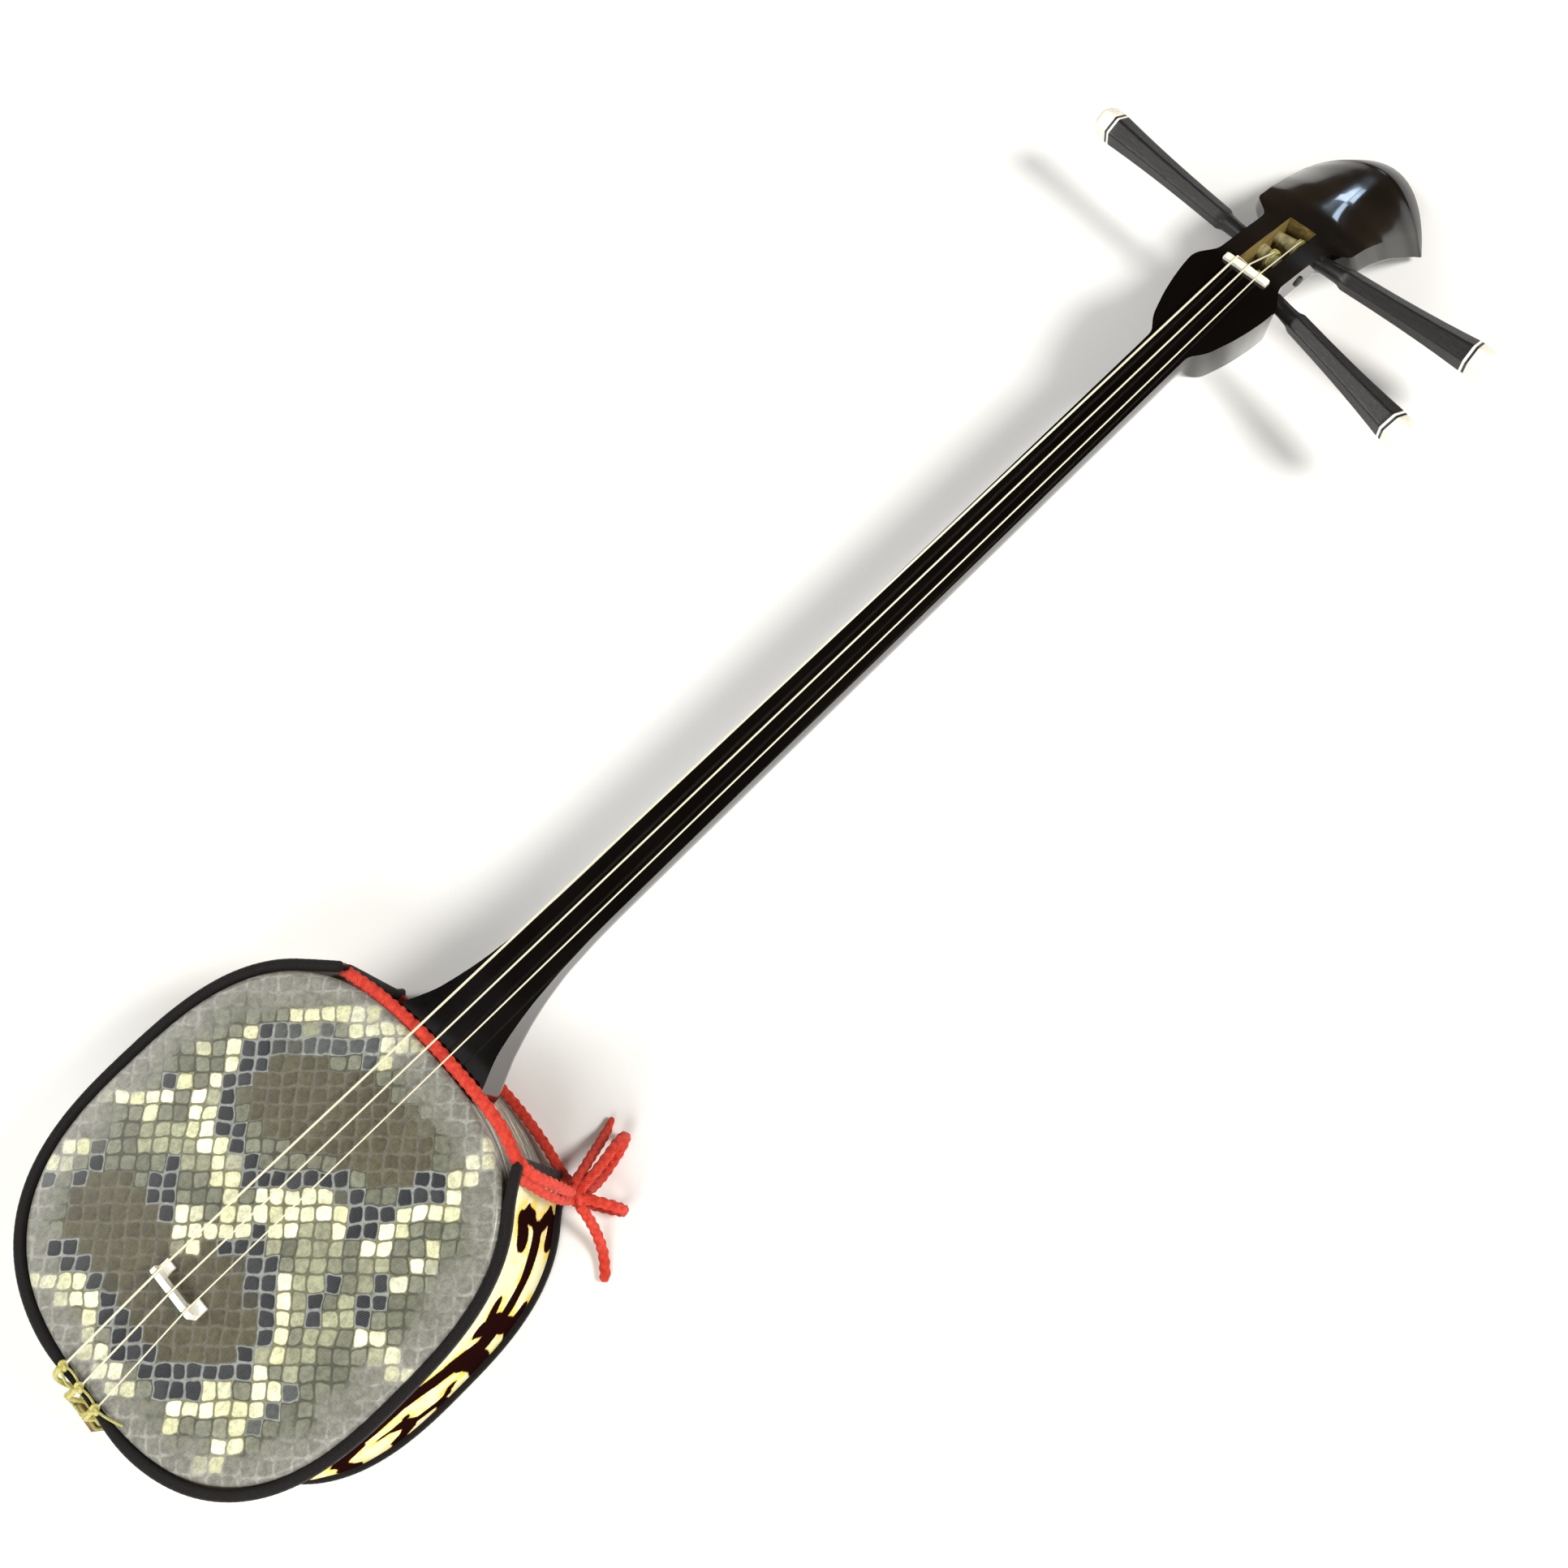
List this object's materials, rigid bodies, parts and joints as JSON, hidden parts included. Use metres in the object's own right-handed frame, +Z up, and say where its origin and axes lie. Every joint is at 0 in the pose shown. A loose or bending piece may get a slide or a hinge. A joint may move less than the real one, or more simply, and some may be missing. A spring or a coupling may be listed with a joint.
{
  "type": "sanshin",
  "caption": "Okinawan sanshin: snakeskin-covered round body, long black lacquered neck with a fan head, side pegs, strings, a patterned fabric band and a red cord bow.",
  "frame": {"origin": "middle of the body's flat back, on the plane it rests on", "axes": "+X along the neck towards the head, +Y towards the side with the single peg, +Z up out of the front skin"},
  "size_m": [0.7919, 0.2176, 0.0773],
  "materials": {
    "lacquer": "gloss black lacquer",
    "raw_wood": "bare brown wood",
    "ebony": "satin dark grey ebony",
    "snakeskin": "printed scales, satin",
    "backing": "stiff matte backing",
    "band_fabric": "woven cream and dark brown scrolls",
    "piping": "black rolled piping",
    "red_cord": "flat vermilion braid",
    "string": "pale translucent string",
    "tail_silk": "twisted yellow silk",
    "ivory": "polished ivory white",
    "line_white": "white inlay",
    "line_black": "black inlay"
  },
  "bodies": {
    "instrument": {"frame_block_head": "raw_wood", "frame_block_tail": "raw_wood", "frame_block_left": "raw_wood", "frame_block_right": "raw_wood", "front_skin": "snakeskin", "back_skin": "snakeskin", "neck": "lacquer", "peg_head": "lacquer", "neck_wedge": "raw_wood", "tail_wedge": "raw_wood", "nut": "ivory", "band_backing": "backing", "band_fabric": "band_fabric", "band_piping_front": "piping", "band_piping_back": "piping", "band_piping_ends": "piping", "lace_front": "red_cord", "lace_back": "red_cord", "lace_knot": "red_cord", "bow_loop_long": "red_cord", "bow_loop_short": "red_cord", "bow_tail_upper": "red_cord", "bow_tail_lower": "red_cord", "string_thick": "string", "string_middle": "string", "string_thin": "string", "tail_cord": "tail_silk", "tail_cord_knots": "tail_silk"},
    "bridge": {"bridge": "ivory"},
    "thick_peg": {"peg_thick": "ebony", "peg_thick_line_white": "line_white", "peg_thick_line_black": "line_black", "peg_thick_cap": "ivory", "peg_thick_winding": "tail_silk"},
    "middle_peg": {"peg_middle": "ebony", "peg_middle_line_white": "line_white", "peg_middle_line_black": "line_black", "peg_middle_cap": "ivory", "peg_middle_winding": "tail_silk"},
    "thin_peg": {"peg_thin": "ebony", "peg_thin_line_white": "line_white", "peg_thin_line_black": "line_black", "peg_thin_cap": "ivory", "peg_thin_winding": "tail_silk"}
  },
  "joints": [
    {"name": "thick_peg_turn", "type": "hinge", "parent": "instrument", "child": "thick_peg", "pos_m": [0.578, 0, 0.0456], "axis": [-0.2079, -0.9781, 0], "continuous": true},
    {"name": "middle_peg_turn", "type": "hinge", "parent": "instrument", "child": "middle_peg", "pos_m": [0.592, 0, 0.0434], "axis": [0.0993, 0.9951, 0], "continuous": true},
    {"name": "thin_peg_turn", "type": "hinge", "parent": "instrument", "child": "thin_peg", "pos_m": [0.6046, 0, 0.0414], "axis": [0.0436, -0.999, 0], "continuous": true},
    {"name": "bridge_slide", "type": "slide", "parent": "instrument", "child": "bridge", "axis": [1, 0, 0], "range_m": [-0.002, 0.01]}
  ]
}
